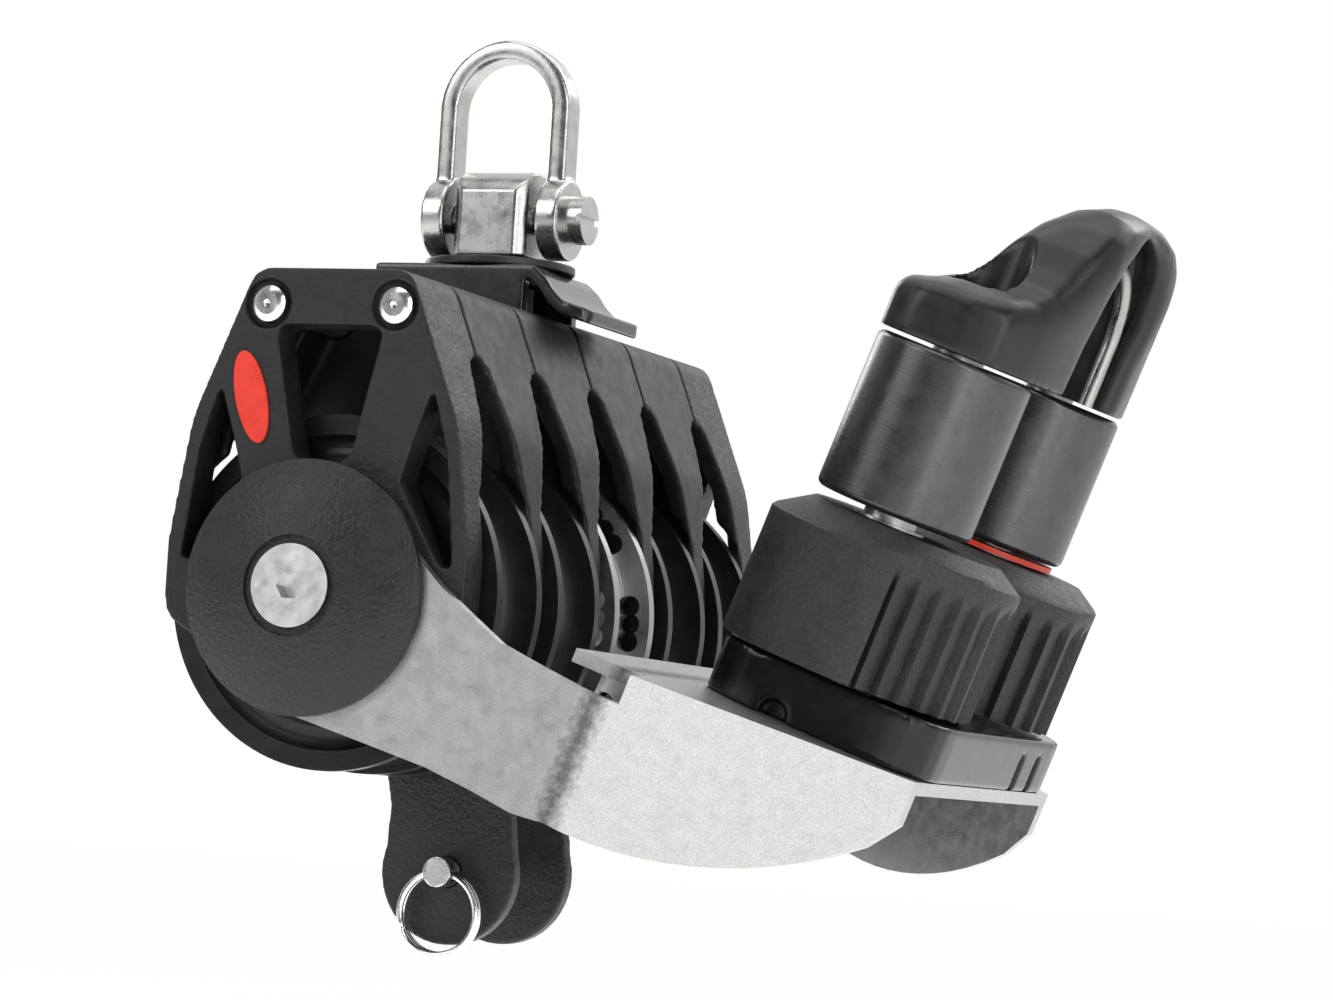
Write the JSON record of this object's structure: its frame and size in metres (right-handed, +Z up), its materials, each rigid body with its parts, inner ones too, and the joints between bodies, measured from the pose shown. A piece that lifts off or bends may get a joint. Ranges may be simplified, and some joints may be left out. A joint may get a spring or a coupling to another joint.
{
  "type": "mainsheet block with cam cleat",
  "caption": "Swivel-shackle mainsheet block with ball-bearing sheaves, becket and a stainless arm that carries a cam cleat with roller fairlead.",
  "frame": {"origin": "the inner crown of the shackle bow, where the object hangs", "axes": "+Z up along the swivel axis, +X from the block towards the cam cleat, +Y along the main axle"},
  "size_m": [0.1444, 0.1504, 0.1581],
  "materials": {
    "satin_stainless": "satin cast stainless, fine scratches",
    "bright_stainless": "bright turned stainless",
    "plain_steel": "plain machined stainless",
    "sheet_stainless": "bead-finished stainless sheet with fine mottle",
    "black_coat": "satin black coated steel",
    "cheek_composite": "fine-grained black glass-filled nylon",
    "sheave_acetal": "satin black acetal",
    "sheave_aluminium": "hard anodised grey",
    "bearing_plastic": "off-white bearing plastic",
    "washer_plastic": "dark washer plastic",
    "base_gloss": "glossy black moulding",
    "cam_composite": "matte black fibre-filled composite",
    "roller_anodised": "black anodised, fine turning marks",
    "red_plastic": "red washer and badge",
    "fairlead_black": "smooth dark moulding"
  },
  "bodies": {
    "shackle": {"shackle_bow": "satin_stainless", "shackle_pin": "satin_stainless"},
    "swivel": {"swivel_post": "satin_stainless", "swivel_nut": "plain_steel"},
    "block": {"swivel_washer": "black_coat", "head_bracket": "black_coat", "tie_bolts": "bright_stainless", "cheek_near": "cheek_composite", "cheek_far": "cheek_composite", "divider_1": "cheek_composite", "divider_2": "cheek_composite", "divider_3": "cheek_composite", "divider_4": "cheek_composite", "hub_1": "bearing_plastic", "hub_2": "bearing_plastic", "hub_3": "bearing_plastic", "hub_4": "bearing_plastic", "hub_5": "bearing_plastic", "axle": "plain_steel", "cap_near": "cheek_composite", "cap_far": "cheek_composite", "hub_screws": "bright_stainless", "arm_washers": "washer_plastic", "becket_plates": "cheek_composite", "becket_pin": "bright_stainless", "badge": "red_plastic"},
    "sheave_1_body": {"sheave_1": "sheave_acetal", "balls_1": "bearing_plastic"},
    "sheave_2_body": {"sheave_2": "sheave_acetal", "balls_2": "bearing_plastic"},
    "sheave_3_body": {"sheave_3": "sheave_aluminium", "balls_3": "bearing_plastic"},
    "sheave_4_body": {"sheave_4": "sheave_acetal", "balls_4": "bearing_plastic"},
    "sheave_5_body": {"sheave_5": "sheave_acetal", "balls_5": "bearing_plastic"},
    "cleat_arm": {"cleat_bracket": "sheet_stainless", "cleat_base": "base_gloss", "cam_bushes": "plain_steel", "cam_springs": "plain_steel", "roller_bushes": "plain_steel", "red_washer": "red_plastic", "fairlead": "fairlead_black", "fairlead_liner": "bright_stainless", "cleat_screws": "plain_steel", "cleat_nuts": "plain_steel"},
    "cam_near_body": {"cam_near": "cam_composite"},
    "cam_far_body": {"cam_far": "cam_composite"},
    "roller_near_body": {"roller_near": "roller_anodised"},
    "roller_far_body": {"roller_far": "roller_anodised"},
    "ring_body": {"becket_ring": "bright_stainless"}
  },
  "joints": [
    {"name": "shackle_pivot", "type": "hinge", "parent": "shackle", "child": "swivel", "pos_m": [0, 0, -0.0277], "axis": [1, 0, 0], "range_deg": [-80, 80]},
    {"name": "head_swivel", "type": "hinge", "parent": "swivel", "child": "block", "pos_m": [0, 0, -0.0368], "axis": [0, 0, 1], "continuous": true},
    {"name": "sheave_1_spin", "type": "hinge", "parent": "block", "child": "sheave_1_body", "pos_m": [0.0004, -0.05, -0.0963], "axis": [0, 1, 0], "continuous": true},
    {"name": "sheave_2_spin", "type": "hinge", "parent": "block", "child": "sheave_2_body", "pos_m": [0.0004, -0.025, -0.0963], "axis": [0, 1, 0], "continuous": true},
    {"name": "sheave_3_spin", "type": "hinge", "parent": "block", "child": "sheave_3_body", "pos_m": [0.0004, 0, -0.0963], "axis": [0, 1, 0], "continuous": true},
    {"name": "sheave_4_spin", "type": "hinge", "parent": "block", "child": "sheave_4_body", "pos_m": [0.0004, 0.025, -0.0963], "axis": [0, 1, 0], "continuous": true},
    {"name": "sheave_5_spin", "type": "hinge", "parent": "block", "child": "sheave_5_body", "pos_m": [0.0004, 0.05, -0.0963], "axis": [0, 1, 0], "continuous": true},
    {"name": "arm_pivot", "type": "hinge", "parent": "block", "child": "cleat_arm", "pos_m": [0.0004, 0, -0.0963], "axis": [0, 1, 0], "range_deg": [-35, 35]},
    {"name": "cam_near_pivot", "type": "hinge", "parent": "cleat_arm", "child": "cam_near_body", "pos_m": [0.07762, -0.0263, -0.09161], "axis": [0.3437, 0, 0.9391], "range_deg": [-70, 0], "stiffness_Nm_per_rad": 0.02, "springref_deg": 34.38},
    {"name": "cam_far_pivot", "type": "hinge", "parent": "cleat_arm", "child": "cam_far_body", "pos_m": [0.07762, 0.0263, -0.09161], "axis": [0.3437, 0, 0.9391], "range_deg": [0, 70], "stiffness_Nm_per_rad": 0.02, "springref_deg": -34.38},
    {"name": "roller_near_spin", "type": "hinge", "parent": "cleat_arm", "child": "roller_near_body", "pos_m": [0.0869, -0.0263, -0.06625], "axis": [0.3437, 0, 0.9391], "continuous": true},
    {"name": "roller_far_spin", "type": "hinge", "parent": "cleat_arm", "child": "roller_far_body", "pos_m": [0.0869, 0.0263, -0.06625], "axis": [0.3437, 0, 0.9391], "continuous": true},
    {"name": "ring_swing", "type": "hinge", "parent": "block", "child": "ring_body", "pos_m": [0.003, -0.0155, -0.1403], "axis": [1, 0, 0], "range_deg": [-75, 4]}
  ],
  "couplings": [
    {"joint": "cam_far_pivot", "follows": "cam_near_pivot", "ratio": -1}
  ]
}
